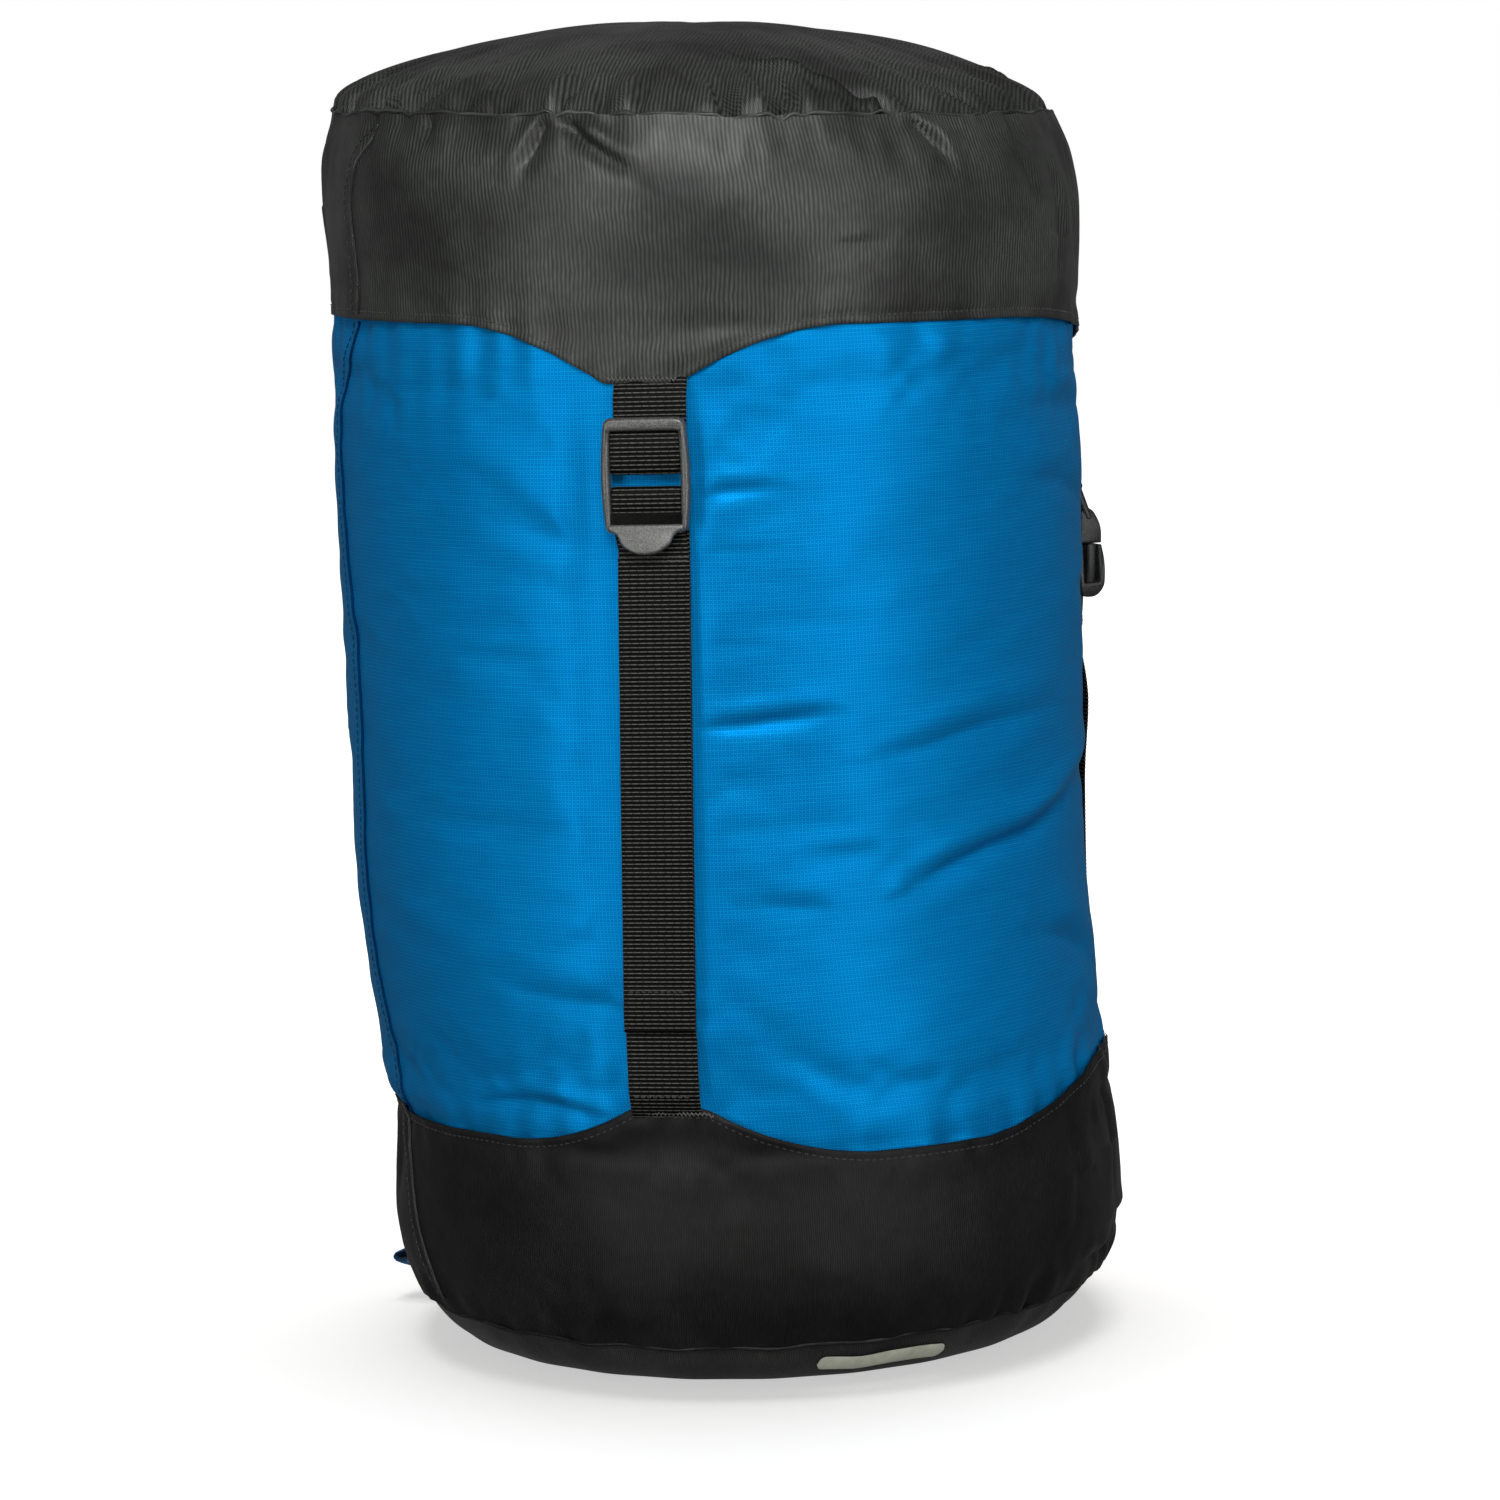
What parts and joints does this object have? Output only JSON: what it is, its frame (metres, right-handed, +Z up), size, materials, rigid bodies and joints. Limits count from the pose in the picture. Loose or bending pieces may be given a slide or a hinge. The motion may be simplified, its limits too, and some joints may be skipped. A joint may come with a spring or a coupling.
{
  "type": "compression stuff sack",
  "caption": "Cylindrical compression stuff sack with a strapped-down lid cap, shown packed full and standing on its base.",
  "frame": {"origin": "centre of the base's flat, on the surface that the sack stands on", "axes": "+Z up along the sack, -Y towards the front strap"},
  "size_m": [0.2883, 0.2797, 0.4795],
  "materials": {
    "blue_ripstop": "satin ripstop nylon",
    "black_oxford": "satin oxford nylon",
    "black_webbing": "matt ribbed webbing",
    "black_plastic": "fine moulded texture",
    "blue_ribbon": "narrow woven tape",
    "label_print": "blank woven label"
  },
  "bodies": {
    "sack": {"bottom_disc": "black_oxford", "bottom_band": "black_oxford", "body_tube": "blue_ripstop", "throat": "blue_ripstop", "mouth_hem": "blue_ripstop", "cord_eyelet": "black_plastic", "base_label": "label_print", "front_strap_standing": "black_webbing", "side_strap_standing": "black_webbing", "rear_strap_standing": "black_webbing"},
    "lid": {"lid_disc": "black_oxford", "lid_band": "black_oxford", "front_strap_anchor": "black_webbing", "rear_strap_anchor": "black_webbing", "side_strap_anchor": "black_webbing", "buckle_male": "black_plastic"},
    "haul_loop": {"haul_loop": "blue_ribbon"},
    "side_female": {"buckle_female": "black_plastic", "side_strap_wrap": "black_webbing"},
    "side_tail": {"side_strap_tail": "black_webbing"},
    "prong_left": {"buckle_prong_left": "black_plastic"},
    "prong_right": {"buckle_prong_right": "black_plastic"},
    "front_lock": {"front_ladder_lock": "black_plastic", "front_strap_loop": "black_webbing", "front_strap_wrap": "black_webbing"},
    "front_tail": {"front_strap_tail": "black_webbing"},
    "rear_lock": {"rear_ladder_lock": "black_plastic", "rear_strap_loop": "black_webbing", "rear_strap_wrap": "black_webbing"},
    "rear_tail": {"rear_strap_tail": "black_webbing"}
  },
  "joints": [
    {"name": "lid_lift", "type": "slide", "parent": "sack", "child": "lid", "axis": [0, 0, 1], "range_m": [0, 0.09], "deforming": ["front_strap_standing", "side_strap_standing", "rear_strap_standing", "front_strap_tail", "side_strap_tail", "rear_strap_tail"]},
    {"name": "front_lock_tilt", "type": "hinge", "parent": "lid", "child": "front_lock", "pos_m": [0, -0.1398, 0.3451], "axis": [-1, 0, 0], "range_deg": [0, 30]},
    {"name": "front_tail_swing", "type": "hinge", "parent": "front_lock", "child": "front_tail", "pos_m": [0, -0.13795, 0.2968], "axis": [-1, 0, 0], "range_deg": [0, 70]},
    {"name": "rear_lock_tilt", "type": "hinge", "parent": "lid", "child": "rear_lock", "pos_m": [-0.12107, 0.0699, 0.3451], "axis": [0.5, 0.866, 0], "range_deg": [0, 30]},
    {"name": "rear_tail_swing", "type": "hinge", "parent": "rear_lock", "child": "rear_tail", "pos_m": [-0.11947, 0.06897, 0.2968], "axis": [0.5, 0.866, 0], "range_deg": [0, 70]},
    {"name": "side_buckle_release", "type": "slide", "parent": "lid", "child": "side_female", "axis": [0, 0, -1], "range_m": [0, 0.03]},
    {"name": "side_tail_swing", "type": "hinge", "parent": "side_female", "child": "side_tail", "pos_m": [0.12098, 0.06985, 0.2466], "axis": [0.5, -0.866, 0], "range_deg": [0, 70]},
    {"name": "prong_left_press", "type": "hinge", "parent": "lid", "child": "prong_left", "pos_m": [0.12625, 0.05794, 0.2828], "axis": [0.866, 0.5, 0], "range_deg": [0, 6.4], "stiffness_Nm_per_rad": 0.02},
    {"name": "prong_right_press", "type": "hinge", "parent": "lid", "child": "prong_right", "pos_m": [0.1133, 0.08037, 0.2828], "axis": [-0.866, -0.5, 0], "range_deg": [0, 6.4], "stiffness_Nm_per_rad": 0.02},
    {"name": "haul_loop_swing", "type": "hinge", "parent": "sack", "child": "haul_loop", "pos_m": [-0.1297, 0.02757, 0.019], "axis": [0.2079, 0.9781, 0], "range_deg": [0, 34]}
  ],
  "couplings": [
    {"joint": "prong_right_press", "follows": "prong_left_press", "ratio": 1}
  ]
}
